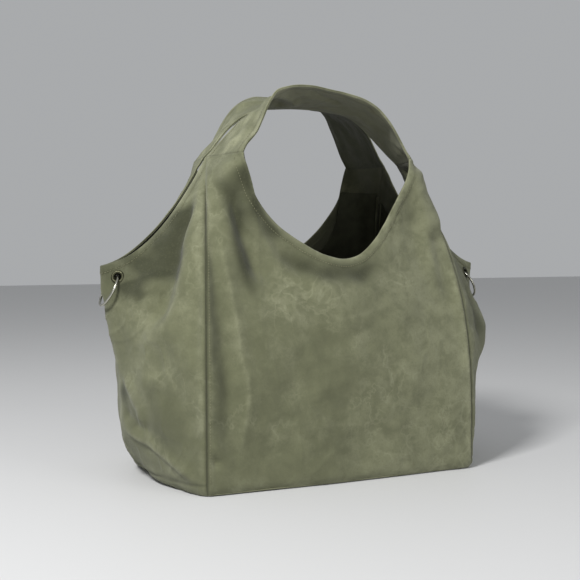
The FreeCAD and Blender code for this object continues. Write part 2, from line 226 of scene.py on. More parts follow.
def front(u, v):
    """Front panel before its folds: in plan a run to the turn, bowed outwards, the rounded turn, and a
    straight run back to the seam. u is the share of the distance round from the middle."""
    u, v = np.broadcast_arrays(np.asarray(u, float), np.asarray(v, float))
    seam = side_seam(v, np.where(u < 0.0, LEFT_EAR_Y, RIGHT_EAR_Y))
    middle = mix(BASE_HALF_DEPTH + BASE_FRONT_BOW, EAR_TURN_Y, ease((v - 0.42) / 0.53))
    turn_y = mix(BASE_HALF_DEPTH + BASE_TURN_BOW, EAR_TURN_Y, ease((v - 0.25) / 0.65))
    turn = point(mix(BASE_TURN_X, EAR_TURN_X, v * v), -turn_y, seam[..., 2])
    start = turn * (0.0, 1.0, 1.0)
    first, second = length(turn - start)[..., None], length(seam - turn)[..., None]
    room = np.minimum(mix(BASE_ROUND, EAR_ROUND, v)[..., None], 0.9 * second)
    s = np.abs(u)[..., None] * (first + second)
    t = np.clip((s - first + room) / (2.0 * room), 0.0, 1.0)
    before, after = turn + (start - turn) * (room / first), turn + (seam - turn) * (room / second)
    p = before * (1 - t) ** 2 + turn * (2 * t * (1 - t)) + after * t ** 2
    p = np.where(s < first - room, start + (turn - start) * (s / first), p)
    p = np.where(s > first + room, turn + (seam - turn) * ((s - first) / second), p)
    bowed = (1.0 - np.minimum(s / first, 1.0)[..., 0] ** 2) ** 2
    return point(np.copysign(p[..., 0], u), p[..., 1] - (middle - turn_y) * bowed, p[..., 2])


def fold_line(v):
    """The right gusset's fold: out to the belly, up, and out again to the wing's tip."""
    rise = np.minimum(v / 0.30, 1.0)
    x = mix(GUSSET_FOOT, BELLY_X, 1.0 - (1.0 - rise) ** 2)
    x = x + (WING_TIP_X - BELLY_X) * ease((v - 0.45) / 0.45)
    return point(x, 0.0, mix(CANVAS, WING_TIP_Z, v))


def gusset(u, v):
    """Right gusset before its folds: each half runs straight from the seam to the fold and bows outwards,
    and the fold itself is rounded by measuring u as a hypotenuse."""
    u, v = np.broadcast_arrays(np.asarray(u, float), np.asarray(v, float))
    seam, fold = side_seam(v), fold_line(v)
    away = (np.hypot(u, FOLD_ROUND) - FOLD_ROUND) / (math.hypot(1.0, FOLD_ROUND) - FOLD_ROUND)
    depth, width = -seam[..., 1], fold[..., 0] - seam[..., 0]
    run, bow = np.hypot(width, depth), mix(GUSSET_CROWN, WING_CROWN, v)
    x = mix(fold[..., 0], seam[..., 0], away) + bow * arch(away) * depth / run
    y = depth * np.abs(u) + bow * arch(np.abs(u)) * width / run
    z = mix(fold[..., 2], seam[..., 2], away) - WING_SAG * v * v * arch(away)
    return point(x, np.copysign(y, u), z)


def outward(surface, u, v, step=0.004):
    """A surface's unit normal, from the differences of near points."""
    across = surface(np.minimum(u + step, 1.0), v) - surface(np.maximum(u - step, -1.0), v)
    upwards = surface(u, np.minimum(v + step, 1.0)) - surface(u, np.maximum(v - step, 0.0))
    return unit(np.cross(across, upwards))


# ------------ folds of the panels
# Lines in millimetres across a panel seen from outside: x to its right hand side and height.
FRONT_FOLDS = [
    ([(-149, 330), (-146, 292), (-143, 259), (-138, 214), (-133, 160), (-126, 118), (-127, 94),
     (-134, 50), (-138, 14)], 10.0, 4.5, 2.6),
    ([(-158, 322), (-157, 260), (-155, 210), (-152, 160), (-149, 118), (-150, 80), (-154, 40)], 9.0, 11.0,
     -4.6),
    ([(-156, 314), (-142, 340), (-128, 360), (-108, 382)], 11.0, 11.0, 8.5),
    ([(-136, 352), (-128, 330), (-117, 292), (-107, 258), (-98, 226)], 15.0, 9.0, -11.0),
    ([(122, 384), (133, 350), (139, 318), (147, 280)], 16.0, 16.0, 9.0),
    ([(-118, 330), (-98, 292), (-79, 262)], 7.0, 7.0, 2.4),
    ([(-96, 300), (-76, 268), (-48, 240)], 11.0, 8.0, -2.4),
    ([(-84, 276), (-52, 251), (-20, 241), (20, 240), (58, 254)], 8.0, 10.0, -2.2),
    ([(-60, 240), (-20, 226), (30, 226), (62, 240)], 12.0, 12.0, 1.6),
    ([(-180, 58), (-172, 48), (-158, 32)], 5.0, 6.0, -4.0),
    ([(-170, 62), (-156, 44), (-140, 34)], 6.0, 7.0, 2.0),
    ([(112, 368), (124, 320), (130, 262), (138, 200)], 9.0, 9.0, 2.4),
    ([(126, 350), (140, 290), (150, 220), (156, 150)], 10.0, 10.0, -2.0),
    ([(98, 330), (110, 286), (116, 236)], 10.0, 10.0, -1.6),
    ([(-60, 190), (-10, 170), (60, 176), (110, 190)], 22.0, 22.0, -1.4),
    ([(-90, 150), (-30, 120), (50, 112), (120, 130)], 26.0, 26.0, 1.6),
    ([(-110, 70), (-40, 52), (40, 56), (130, 44)], 18.0, 18.0, -1.3),
    ([(150, 60), (140, 36), (118, 22)], 9.0, 9.0, 1.6),
    ([(-40, 214), (-64, 150), (-70, 90)], 14.0, 16.0, -1.5),
    ([(60, 210), (84, 150), (92, 80)], 16.0, 14.0, 1.5),
]
BACK_FOLDS = [
    ([(-142, 350), (-138, 290), (-140, 210), (-146, 130), (-150, 60)], 11.0, 8.0, 3.0),
    ([(-130, 360), (-120, 318), (-104, 276)], 9.0, 12.0, -4.0),
    ([(120, 360), (130, 300), (134, 230), (140, 150)], 11.0, 11.0, 3.0),
    ([(136, 352), (146, 290), (152, 220)], 9.0, 9.0, -3.0),
    ([(-80, 270), (-30, 246), (30, 244), (80, 268)], 12.0, 12.0, -2.0),
    ([(-100, 150), (-20, 128), (90, 140)], 26.0, 26.0, 1.8),
    ([(-120, 60), (0, 46), (120, 64)], 20.0, 20.0, -1.6),
    ([(-30, 226), (-50, 160), (-44, 90)], 15.0, 15.0, 1.5),
]
# Lines across a gusset: distance from its fold, towards the front being negative, and height, in millimetres.
LEFT_FOLDS = [
    ([(-24, 336), (-39, 299), (-50, 269), (-61, 236), (-62, 202), (-50, 176)], 12.0, 9.0, -10.5),
    ([(-28, 352), (-57, 298), (-73, 259), (-82, 220), (-74, 186), (-50, 166), (-30, 160)], 10.0, 14.0,
     5.0),
    ([(-16, 276), (-34, 258), (-50, 232), (-60, 204)], 9.0, 8.0, -3.6),
    ([(-100, 250), (-106, 190), (-110, 140)], 9.0, 9.0, -2.0),
    ([(-4, 62), (-30, 58), (-57, 51), (-84, 36), (-106, 22), (-122, 12)], 5.0, 9.0, 4.2),
    ([(-6, 128), (-28, 104), (-45, 86), (-45, 60)], 5.0, 11.0, 3.4),
    ([(-10, 84), (-30, 74), (-62, 62)], 9.0, 8.0, -3.0),
    ([(-40, 176), (-84, 168), (-104, 120)], 24.0, 24.0, 2.6),
    ([(20, 230), (34, 180), (50, 120), (70, 70)], 14.0, 14.0, 3.4),
    ([(60, 240), (72, 190), (88, 130)], 12.0, 12.0, -3.8),
    ([(8, 66), (44, 50), (92, 24)], 7.0, 7.0, -3.0),
]
RIGHT_FOLDS = [
    ([(-30, 246), (-52, 206), (-64, 170), (-70, 120)], 10.0, 10.0, 4.2),
    ([(-60, 240), (-78, 196), (-88, 150)], 9.0, 9.0, -4.0),
    ([(-8, 208), (-24, 196), (-46, 196)], 8.0, 8.0, -4.4),
    ([(-8, 66), (-40, 50), (-90, 30)], 9.0, 9.0, -3.2),
    ([(-8, 50), (-44, 36), (-88, 16)], 9.0, 9.0, 2.8),
    ([(24, 230), (40, 176), (58, 120), (72, 66)], 13.0, 13.0, 3.6),
    ([(60, 250), (76, 196), (90, 140)], 12.0, 12.0, -3.8),
    ([(10, 66), (44, 50), (92, 24)], 9.0, 9.0, -3.0),
]
# Painted shade in the hollows of folds and under the wings: lines with widths, as above, and a strength in
# thousandths.
FRONT_FOLD_SHADE = [
    ([(-134, 366), (-129, 338), (-125, 311), (-123, 277), (-119, 252), (-112, 228), (-106, 206)], 12.0,
     9.0, 1150),
    ([(-116, 376), (-110, 350), (-100, 325), (-84, 298), (-62, 276)], 13.0, 15.0, 1250),
    ([(-92, 272), (-50, 250), (-14, 240), (24, 241), (60, 256)], 14.0, 10.0, 900),
    ([(-163, 330), (-162, 250), (-158, 180), (-154, 110), (-158, 20)], 9.0, 14.0, 560),
    ([(96, 352), (104, 330), (112, 296)], 9.0, 12.0, 420),
]
BACK_FOLD_SHADE = [
    ([(-132, 356), (-122, 318), (-108, 276)], 14.0, 12.0, 900),
    ([(118, 350), (110, 310), (96, 280)], 12.0, 14.0, 800),
    ([(-60, 250), (0, 238), (60, 250)], 12.0, 10.0, 600),
]
LEFT_FOLD_SHADE = [
    ([(-20, 330), (-36, 303), (-50, 278), (-60, 252), (-65, 228)], 21.0, 9.0, 2100),
    ([(34, 246), (-4, 248), (-48, 246)], 36.0, 36.0, 900),
    ([(-18, 236), (-30, 222), (-44, 212)], 9.0, 9.0, 900),
    ([(-4, 120), (-22, 96), (-34, 74), (-22, 60)], 14.0, 5.0, 900),
    ([(-60, 130), (-80, 84), (-104, 44)], 30.0, 22.0, 500),
    ([(20, 300), (40, 250), (56, 200)], 14.0, 12.0, 900),
]
RIGHT_FOLD_SHADE = [
    ([(-14, 250), (-36, 214), (-44, 180)], 12.0, 12.0, 800),
    ([(24, 320), (44, 262), (60, 200)], 12.0, 14.0, 900),
    ([(-66, 240), (-84, 190), (-92, 150)], 10.0, 12.0, 700),
]
# Ridges rubbed pale, in the same terms.
FRONT_WORN = [
    ([(-146, 292), (-143, 259), (-138, 214), (-133, 160), (-126, 118), (-127, 94), (-137, 34)], 2.6, 2.6,
     520),
    ([(-140, 345), (-132, 359), (-120, 372)], 5.0, 5.0, 500),
    ([(-70, 215), (-10, 190), (60, 205)], 3.0, 3.0, 260),
    ([(40, 160), (80, 120), (120, 96)], 3.0, 3.0, 240),
    ([(-60, 96), (-20, 70), (30, 66)], 3.0, 3.0, 240),
]
BACK_WORN = [
    ([(-120, 300), (-128, 200), (-122, 100)], 2.6, 2.6, 450),
    ([(120, 310), (126, 190), (116, 90)], 2.6, 2.6, 450),
    ([(-50, 200), (10, 180), (60, 196)], 3.0, 3.0, 260),
]
LEFT_WORN = [
    ([(-30, 345), (-55, 298), (-71, 259), (-78, 220), (-72, 186), (-55, 166)], 4.5, 4.5, 560),
    ([(-5, 60), (-57, 52), (-104, 23), (-120, 14)], 2.2, 2.2, 700),
    ([(-9, 118), (-45, 88), (-43, 65)], 2.2, 2.2, 600),
    ([(6, 250), (-24, 262), (-40, 240)], 2.5, 2.5, 300),
]
RIGHT_WORN = [
    ([(-40, 330), (-66, 262), (-78, 200), (-60, 150)], 4.0, 4.0, 450),
    ([(40, 320), (62, 250), (74, 190)], 4.0, 4.0, 400),
    ([(-6, 60), (-60, 46), (-112, 16)], 2.2, 2.2, 600),
]


def seam_relief(seam, z, p, seed):
    """Height near a corner seam: its crease, the ridge of its allowance, and puckers."""
    crease = 0.0026 * np.clip(1.0 - seam / 0.0032, 0.0, 1.0) ** 1.5 * ease((SEAM_TOP - z) / 0.02)
    pucker = np.exp(-((seam - 0.006) / 0.006) ** 2) * np.sin(z / 0.0052 + 2.0 * waves(p, 0.05, seed))
    return 0.0006 * np.exp(-((seam - 0.0065) / 0.004) ** 2) + 0.00028 * pucker - crease


def hem_relief(edge, along, rise):
    """Height of a hem from the distance to its edge: the turned cloth, and the pull of each stitch."""
    pull = np.exp(-((edge - HEM) / 0.004) ** 2) * np.sin(along / 0.0011)
    return rise * ease((HEM + 0.0012 - edge) / 0.0024) + 0.0003 * pull


def tuck(z):
    """How far the foot of a wall turns in under the bag."""
    return BOTTOM_TUCK * np.clip(1.0 - (z - CANVAS) / BOTTOM_ROLL, 0.0, 1.0) ** 2


def panel(side):
    """The front or back panel's surface with its folds, as a function of u and v, both built facing -Y."""
    made, seed = (FRONT_FOLDS, 11) if side == "front" else (BACK_FOLDS, 47)
    neck = NECKS[side]

    def surface(u, v):
        p = front(u, v)
        x, z = p[..., 0], p[..., 2]
        height = folds(x, z, made)
        height += 0.0009 * waves(p, 0.085, seed) + 0.0007 * creases(p, 0.06, seed + 2)
        height += 0.00022 * waves(p, 0.028, seed + 4)
        height *= ease((1.0 - v) / 0.05 + 0.1)
        seam = (1.0 - np.abs(u)) * PANEL_REACH
        height *= ease(seam / 0.014 + 0.12)
        edge, along = from_line(x, z, neck)
        height += seam_relief(seam, z, p, seed + 6) - tuck(z)
        height += hem_relief(np.abs(edge), along * 0.44, 0.0006)
        facing = outward(front, u, v)
        return p + facing * height[..., None], facing

    return surface


def wing(side):
    """A gusset's surface with its folds, both built as the right one. Round the eyelets it lies as it was
    cut."""
    made, seed, ear_y = (LEFT_FOLDS, 83, LEFT_EAR_Y) if side == "left" else (RIGHT_FOLDS, 131, RIGHT_EAR_Y)

    def plain(u, v):
        """The gusset with its seams drawn to where this side's ears stand."""
        moved = np.sign(u) * (ear_y - EAR_SIDE_Y) * v ** 3.3 * ease((np.abs(u) - 0.3) / 0.5)
        return gusset(u, v) + moved[..., None] * (0.0, 1.0, 0.0)

    def surface(u, v):
        u, v = np.broadcast_arrays(u, v)
        p = plain(u, v)
        y, z = p[..., 1], p[..., 2]
        height = folds(y, z, made)
        if side == "right":
            height += 0.017 * np.exp(-((y + 0.052) / 0.045) ** 2) * np.exp(-((z - 0.165) / 0.050) ** 2)
        height += 0.0010 * waves(p, 0.075, seed) + 0.0010 * creases(p, 0.05, seed + 2)
        height += 0.00025 * waves(p, 0.026, seed + 4)
        seam, top = (1.0 - np.abs(u)) * GUSSET_REACH, (1.0 - v) * WING_TIP_Z
        height *= ease(seam / 0.014 + 0.12) * ease(top / 0.03 + 0.22)
        height -= 0.0022 * np.exp(-(y / 0.006) ** 2) * np.exp(-((z - 0.206) / 0.012) ** 2)
        near = np.minimum(length(p - gusset(-EYELET_U, EYELET_V)), length(p - gusset(EYELET_U, EYELET_V)))
        height *= ease((near - 0.010) / 0.016)
        height = mix(np.minimum(height, 0.0), height, ease((near - 0.024) / 0.022))
        height += seam_relief(seam, z, p, seed) - tuck(z)
        height += hem_relief(top, u * GUSSET_REACH, 0.0005) * ease((near - 0.0085) / 0.004)
        height -= 0.0010 * np.exp(-((z - 0.0125) / 0.0016) ** 2)
        facing = outward(plain, u, v)
        return p + facing * height[..., None], facing

    return surface


# ------------ from grids to meshes
def laid(as_built, axis):
    """Three ways of placing one side's cloth, as it was built or mirrored across an axis: for grids of
    points, for grids of marks, and as factors for a row of points."""
    factors = np.ones(3)
    if as_built:
        return (lambda grid: grid), (lambda values: values), factors
    factors[axis] = -1.0
    return (lambda grid: mirror(grid, axis)), (lambda values: values[::-1]), factors


def grid_normals(grid):
    """Unit normals of a grid of points, from the differences of its neighbours."""
    return unit(np.cross(np.gradient(grid, axis=0), np.gradient(grid, axis=1)))


def spans(grid):
    """Distances along a grid's columns and rows, as cloth co-ordinates in metres."""
    across = length(np.diff(grid, axis=0)).mean(1)
    upwards = length(np.diff(grid, axis=1)).mean(0)
    a = np.concatenate([[0.0], np.cumsum(across)])
    b = np.concatenate([[0.0], np.cumsum(upwards)])
    return np.stack(np.meshgrid(a, b, indexing="ij"), -1)


def made_object(name, points, faces, material, nodes=(), slot=None, cloth=None, marks=None):
    """A mesh object from points and quads, smooth shaded, with its cloth co-ordinates and its marks."""
    mesh = bpy.data.meshes.new(name)
    mesh.vertices.add(len(points))
    mesh.vertices.foreach_set("co", np.asarray(points, np.float32).ravel())
    mesh.loops.add(faces.size)
    mesh.polygons.add(len(faces))
    mesh.loops.foreach_set("vertex_index", np.asarray(faces, np.int32).ravel())
    mesh.polygons.foreach_set("loop_start", np.arange(0, faces.size, faces.shape[1], dtype=np.int32))
    mesh.polygons.foreach_set("use_smooth", np.ones(len(faces), bool))
    mesh.update(calc_edges=True)
    if cloth is not None:
        layer = mesh.uv_layers.new(name="cloth")
        layer.uv.foreach_set("vector", np.asarray(cloth[faces.ravel()], np.float32).ravel())
    for key, values in (marks or {}).items():
        mark = mesh.attributes.new(key, "FLOAT", "POINT")
        mark.data.foreach_set("value", np.asarray(values, np.float32).ravel())
    mesh.materials.append(material)
    made = bpy.data.objects.new(name, mesh)
    bpy.context.scene.collection.objects.link(made)
    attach(made, "bag")
    if nodes:
        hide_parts(*nodes)
    return made


def sheet_of(name, outer, normals, depth, thickness, material, keep=None, marks=None, **more):
    """Cloth that starts a depth inside the outer grid: that grid, the same grid moved in by the
    thickness, and round every free edge a half-round rim whose middle line stands out by half the
    thickness."""
    nu, nv = outer.shape[:2]
    thickness = np.broadcast_to(thickness, (nu, nv))
    outer = outer - normals * depth
    inner = outer - normals * thickness[..., None]
    k = np.arange(nu * nv).reshape(nu, nv)
    quads = np.stack([k[:-1, :-1], k[1:, :-1], k[1:, 1:], k[:-1, 1:]], -1).reshape(-1, 4)
    if keep is not None:
        quads = quads[keep.ravel()[quads].all(1)]
    edges = np.stack([quads, np.roll(quads, -1, 1)], -1).reshape(-1, 2)
    code = np.sort(edges, 1) @ (nu * nv, 1)
    free = np.isin(code, np.unique(code)[np.unique(code, return_counts=True)[1] == 1])
    rim = edges[free]
    flat, flat_normals = outer.reshape(-1, 3), normals.reshape(-1, 3)
    out = np.zeros_like(flat)
    aside = np.cross(flat[rim[:, 1]] - flat[rim[:, 0]], flat_normals[rim[:, 0]])
    np.add.at(out, rim[:, 0], aside)
    np.add.at(out, rim[:, 1], aside)
    loop = np.unique(rim)
    middle = (flat[loop] + inner.reshape(-1, 3)[loop]) / 2.0
    middle = middle + unit(out[loop]) * (thickness.ravel()[loop] / 2.0)[:, None]
    n = nu * nv
    place = np.zeros(n, int)
    place[loop] = 2 * n + np.arange(len(loop))
    a, b = rim[:, 0], rim[:, 1]
    faces = np.concatenate([quads, quads[:, ::-1] + n, np.stack([b, a, place[a], place[b]], -1),
                            np.stack([place[b], place[a], a + n, b + n], -1)])
    points = np.concatenate([flat, inner.reshape(-1, 3), middle])
    used = np.unique(faces)
    renumber = np.zeros(len(points), int)
    renumber[used] = np.arange(len(used))
    uv = spans(outer).reshape(-1, 2)
    uv = np.concatenate([uv, uv, uv[loop]])[used]
    found = {}
    for key, values in (marks or {}).items():
        flat_values = np.broadcast_to(values, (nu, nv)).ravel()
        found[key] = np.concatenate([flat_values, flat_values, flat_values[loop]])[used]
    return made_object(name, points[used], renumber[faces], material, cloth=uv, marks=found, **more)


def stitches(name, path, normals, pitch=0.0034, share=0.68, radius=0.00042):
    """A row of stitches along a path: each is a six-sided thread, a spindle that is fattest along its
    middle and dips at both ends."""
    run = np.concatenate([[0.0], np.cumsum(length(np.diff(path, axis=0)))])
    count = max(int(run[-1] / pitch), 2)
    starts = (np.arange(count) + 0.5 * (1.0 - share)) * run[-1] / count
    along = np.linspace(0.0, 1.0, 5)
    at = starts[:, None] + along * share * run[-1] / count
    centre = np.stack([np.interp(at, run, path[:, c]) for c in range(3)], -1)
    up = unit(np.stack([np.interp(at, run, normals[:, c]) for c in range(3)], -1))
    forward = unit(np.gradient(centre, axis=1))
    side = unit(np.cross(forward, up))
    swell = np.array([0.25, 0.9, 1.0, 0.9, 0.25])[None, :, None, None]
    lift = (np.array([-0.9, 0.35, 0.6, 0.35, -0.9]) * radius)[None, :, None]
    turn = np.linspace(0.0, 2.0 * math.pi, 6, endpoint=False)
    ring = side[:, :, None] * np.cos(turn)[:, None] + up[:, :, None] * np.sin(turn)[:, None]
    points = ((centre + up * lift)[:, :, None] + ring * swell * radius).reshape(-1, 3)
    k = np.arange(count * 30).reshape(count, 5, 6)
    a, b = k[:, :-1], np.roll(k, -1, 2)[:, :-1]
    c, d = np.roll(k, -1, 2)[:, 1:], k[:, 1:]
    sides = np.stack([a, d, c, b], -1).reshape(-1, 4)
    caps = np.concatenate([k[:, 0, [0, 1, 2, 3]], k[:, 0, [0, 3, 4, 5]],
                           k[:, -1, [3, 2, 1, 0]], k[:, -1, [5, 4, 3, 0]]])
    return made_object(name, points, np.concatenate([sides, caps]), THREAD_PAINT, slot="canvas")


# ------------ materials
def srgb(red, green, blue):
    """A screen colour of 0 to 255 as a linear one."""
    c = np.array([red, green, blue]) / 255.0
    c = np.where(c <= 0.04045, c / 12.92, ((c + 0.055) / 1.055) ** 2.4)
    return (*map(float, c), 1.0)


class Link:
    """A node's output. Arithmetic on it adds Math nodes."""

    def __init__(self, paint, socket):
        self.paint, self.socket = paint, socket

    def math(self, operation, *values):
        return self.paint.node("ShaderNodeMath", {"operation": operation}, dict(enumerate(values)))

    def __add__(self, other):
        return self.math("ADD", self, other)

    def __mul__(self, other):
        return self.math("MULTIPLY", self, other)

    def __sub__(self, other):
        return self.math("SUBTRACT", self, other)

    def __rsub__(self, other):
        return self.math("SUBTRACT", other, self)


class Paint:
    """One material and its nodes."""

    def __init__(self, name):
        self.material = bpy.data.materials.new(name)
        self.material.use_nodes = True
        self.tree = self.material.node_tree
        self.shader = self.tree.nodes["Principled BSDF"]
        self.place = self.node("ShaderNodeTexCoord", output="Object")

    def node(self, kind, settings=None, inputs=None, output=0):
        """Adds a node: its settings first, then the values or links of its sockets. Gives one output."""
        made = self.tree.nodes.new(kind)
        for key, value in (settings or {}).items():
            setattr(made, key, value)
        for key, value in (inputs or {}).items():
            if isinstance(value, Link):
                self.tree.links.new(value.socket, made.inputs[key])
            else:
                made.inputs[key].default_value = value
        return Link(self, made.outputs[output])

    def noise(self, scale, detail=4.0, roughness=0.55, distortion=0.0):
        return self.node("ShaderNodeTexNoise", {}, {"Vector": self.place, "Scale": scale, "Detail": detail,
                                                    "Roughness": roughness, "Distortion": distortion})

    def smooth(self, value, low, high):
        """0 below low and 1 above high, with a smooth step between them. low may be the larger."""
        if low > high:
            return 1.0 - self.smooth(value, high, low)
        return self.node("ShaderNodeMapRange", {"interpolation_type": "SMOOTHSTEP"},
                         {"Value": value, "From Min": low, "From Max": high})

    def mix(self, a, b, factor):
        return self.node("ShaderNodeMix", {"data_type": "RGBA"}, {0: factor, 6: a, 7: b}, 2)

    def bump(self, height, distance, strength=1.0, under=None):
        inputs = {"Height": height, "Distance": distance, "Strength": strength}
        if under is not None:
            inputs["Normal"] = under
        return self.node("ShaderNodeBump", {}, inputs)

    def finish(self, links, **values):
        for key, value in {**links, **values}.items():
            if isinstance(value, Link):
                self.tree.links.new(value.socket, self.shader.inputs[key])
            else:
                self.shader.inputs[key].default_value = value
        return self.material


def weave(paint, pitch):
    """Height of a plain weave from the cloth's own co-ordinates: over-and-under threads as products of
    sines."""
    uv = paint.node("ShaderNodeUVMap", {"uv_map": "cloth"})
    parts = {axis: paint.node("ShaderNodeSeparateXYZ", {}, {0: uv}, axis) for axis in ("X", "Y")}
    wobble = paint.noise(180.0, 2.0) * 0.7
    a = (parts["X"] * (math.pi / pitch) + wobble).math("SINE", parts["X"] * (math.pi / pitch) + wobble)
    b = (parts["Y"] * (math.pi / pitch) + wobble).math("SINE", parts["Y"] * (math.pi / pitch) + wobble)
    return a.math("ABSOLUTE", a) + b.math("ABSOLUTE", b)


# DUSTY is dirt in the seams; the second colour is painted shade for the folds, and it also darkens the side
# seams.
DUSTY, SHADE_AND_SEAM_OLIVE = srgb(52, 53, 36), srgb(52, 54, 36)


def canvas_paint(name, deep, body, pale, veins=1.0, wear_and_light=1.0):
    """Washed canvas: broad and fine mottling between deep and body colour, pale rubbed veins, paler hems
    and ridges, painted light that makes some areas paler, dark lines where seams take up dirt, and painted
    shade that darkens the folds and the side seams."""
    paint = Paint(name)
    broad = paint.noise(7.0, 5.0, 0.6, 0.4)
    fine = paint.noise(42.0, 7.0, 0.68, 0.3)
    speck = paint.noise(420.0, 3.0, 0.7)
    mottle = paint.smooth(broad * 0.25 + fine * 0.75, 0.20, 0.80)
    colour = paint.mix(deep, body, mottle)
    vein = paint.noise(11.0, 4.0, 0.55, 0.5)
    line = paint.smooth((vein - 0.5).math("ABSOLUTE", vein - 0.5), 0.045, 0.002)
    second = paint.noise(24.0, 4.0, 0.55, 0.4)
    line2 = paint.smooth((second - 0.5).math("ABSOLUTE", second - 0.5), 0.022, 0.001)
    shows = paint.smooth(paint.noise(9.0, 3.0), 0.46, 0.64)
    rubbed = (line * 0.18 + line2 * 0.16) * shows * veins
    cloud = paint.smooth(paint.noise(19.0, 8.0, 0.75, 0.2), 0.46, 0.70) * (0.55 * veins)
    colour = paint.mix(colour, pale, rubbed + cloud * 0.40)
    # This mark carries rubbed wear and painted light that makes some areas paler.
    wear_and_light_mark = paint.node("ShaderNodeAttribute", {"attribute_name": "wear_and_light"}, output="Fac")
    dark = paint.node("ShaderNodeAttribute", {"attribute_name": "dirt"}, output="Fac")
    patchy = paint.smooth(fine, 0.36, 0.62) * 0.7 + 0.3
    colour = paint.mix(colour, pale, wear_and_light_mark * patchy * (0.55 * wear_and_light))
    colour = paint.mix(colour, DUSTY, dark)
    # Painted shade: the folds darkened, and the side seams too.
    shade_and_seam_dark = paint.node("ShaderNodeAttribute", {"attribute_name": "shade_and_seam_dark"}, output="Fac")
    colour = paint.mix(colour, SHADE_AND_SEAM_OLIVE, shade_and_seam_dark * (fine * 0.4 + 0.75))
    colour = paint.mix(colour, deep, paint.smooth(speck, 0.5, 0.72) * 0.35)
    threads = weave(paint, 0.0011)
    bumpy = paint.bump(threads, 0.00022, 0.55)
    bumpy = paint.bump(fine * 0.7 + speck * 0.3, 0.0011, 0.5, bumpy)
    return paint.finish({"Base Color": colour, "Roughness": fine * 0.12 + 0.84, "Normal": bumpy},
                        **{"Sheen Weight": 0.12, "Sheen Roughness": 0.6, "Specular IOR Level": 0.22})


def lining_paint():
    """Dark twill lining: diagonal ribs on the cloth's co-ordinates, with soft rubbing."""
    paint = Paint("lining_twill")
    uv = paint.node("ShaderNodeUVMap", {"uv_map": "cloth"})
    rib = paint.node("ShaderNodeTexWave", {"bands_direction": "DIAGONAL"},
                     {"Vector": uv, "Scale": 330.0, "Distortion": 0.6, "Detail": 1.0})
    fine = paint.noise(60.0, 6.0, 0.6)
    colour = paint.mix(srgb(38, 39, 27), srgb(54, 55, 40), paint.smooth(fine, 0.3, 0.7))
    colour = paint.mix(colour, srgb(66, 67, 50), rib * 0.25)
    return paint.finish({"Base Color": colour, "Roughness": fine * 0.1 + 0.78,
                         "Normal": paint.bump(rib, 0.0002, 0.5)}, **{"Specular IOR Level": 0.25})


def metal_paint(name, bright, dull, roughness, scratch):
    """Plated metal: drawn scratches, small dents and a film of tarnish that dulls the plating in patches."""
    paint = Paint(name)
    cloud = paint.noise(160.0, 5.0, 0.6, 0.5)
    fine = paint.noise(1900.0, 2.0, 0.5)
    tarnish = paint.smooth(cloud, 0.45, 0.68)
    colour = paint.mix(bright, dull, tarnish * 0.7)
    return paint.finish({"Base Color": colour, "Roughness": tarnish * 0.22 + fine * scratch + roughness,
                         "Normal": paint.bump(fine * 0.5 + cloud * 0.5, 0.00008, 0.5)}, Metallic=1.0)


def board_paint():
    """Grey fibre board with flecks and a faint pressed grain."""
    paint = Paint("fibre_board")
    fleck = paint.noise(500.0, 4.0, 0.7)
    colour = paint.mix(srgb(92, 84, 70), srgb(128, 118, 100), paint.smooth(fleck, 0.35, 0.65))
    return paint.finish({"Base Color": colour, "Roughness": fleck * 0.1 + 0.85,
                         "Normal": paint.bump(fleck, 0.0002, 0.4)})


DEEP, BODY, PALE = srgb(84, 86, 63), srgb(105, 107, 81), srgb(148, 149, 122)
CANVAS_PAINT = canvas_paint("washed_canvas", DEEP, BODY, PALE)
STRAP_PAINT = canvas_paint("strap_canvas", DEEP, BODY, PALE, 0.8)
# The facings are the same canvas, painted darker as painted shade of the bag's inside.
SHADED_FACING_PAINT = canvas_paint("facing_canvas", srgb(58, 59, 42), srgb(74, 75, 55), srgb(104, 104, 82), 0.5, 0.8)
UNDER_PAINT = canvas_paint("strap_lining_canvas", srgb(88, 89, 67), srgb(112, 113, 88), srgb(146, 146, 121),
                           0.7)
LINING_PAINT = lining_paint()
BOARD_PAINT = board_paint()
BRASS_PAINT = metal_paint("antique_brass", srgb(72, 72, 56), srgb(34, 34, 26), 0.36, 0.10)
STEEL_PAINT = metal_paint("ring_steel", srgb(176, 175, 164), srgb(84, 82, 72), 0.18, 0.10)


def thread_paint():
    """Waxed thread, a shade lighter than the canvas, with its twist as a fine bump."""
    paint = Paint("olive_thread")
    twist = paint.noise(1500.0, 2.0)
    colour = paint.mix(srgb(88, 88, 64), srgb(124, 123, 96), paint.smooth(twist, 0.35, 0.65))
    return paint.finish({"Base Color": colour, "Roughness": twist * 0.1 + 0.6,
                         "Normal": paint.bump(twist, 0.0001, 0.5)})


THREAD_PAINT = thread_paint()

# ------------ camera, floor, light
scene = bpy.context.scene
scene.view_settings.view_transform = "Standard"
camera = bpy.data.objects.new("camera", bpy.data.cameras.new("camera"))
scene.collection.objects.link(camera)
camera.data.sensor_width, camera.data.lens = 36.0, 62.07
camera.location = (-0.550, -1.140, 0.274)
camera.rotation_mode = "QUATERNION"
camera.rotation_quaternion = (Vector((-0.016, 0.0, 0.219)) - camera.location).to_track_quat("-Z", "Y")
scene.camera = camera

floor_mesh = bpy.data.meshes.new("floor")
floor_mesh.from_pydata([(-6, -6, 0), (6, -6, 0), (6, 6, 0), (-6, 6, 0)], [], [(0, 1, 2, 3)])
floor = bpy.data.objects.new("floor", floor_mesh)
scene.collection.objects.link(floor)
floor_paint = Paint("pale_floor").finish({"Base Color": (0.58, 0.58, 0.58, 1.0), "Roughness": 0.6})
floor_mesh.materials.append(floor_paint)

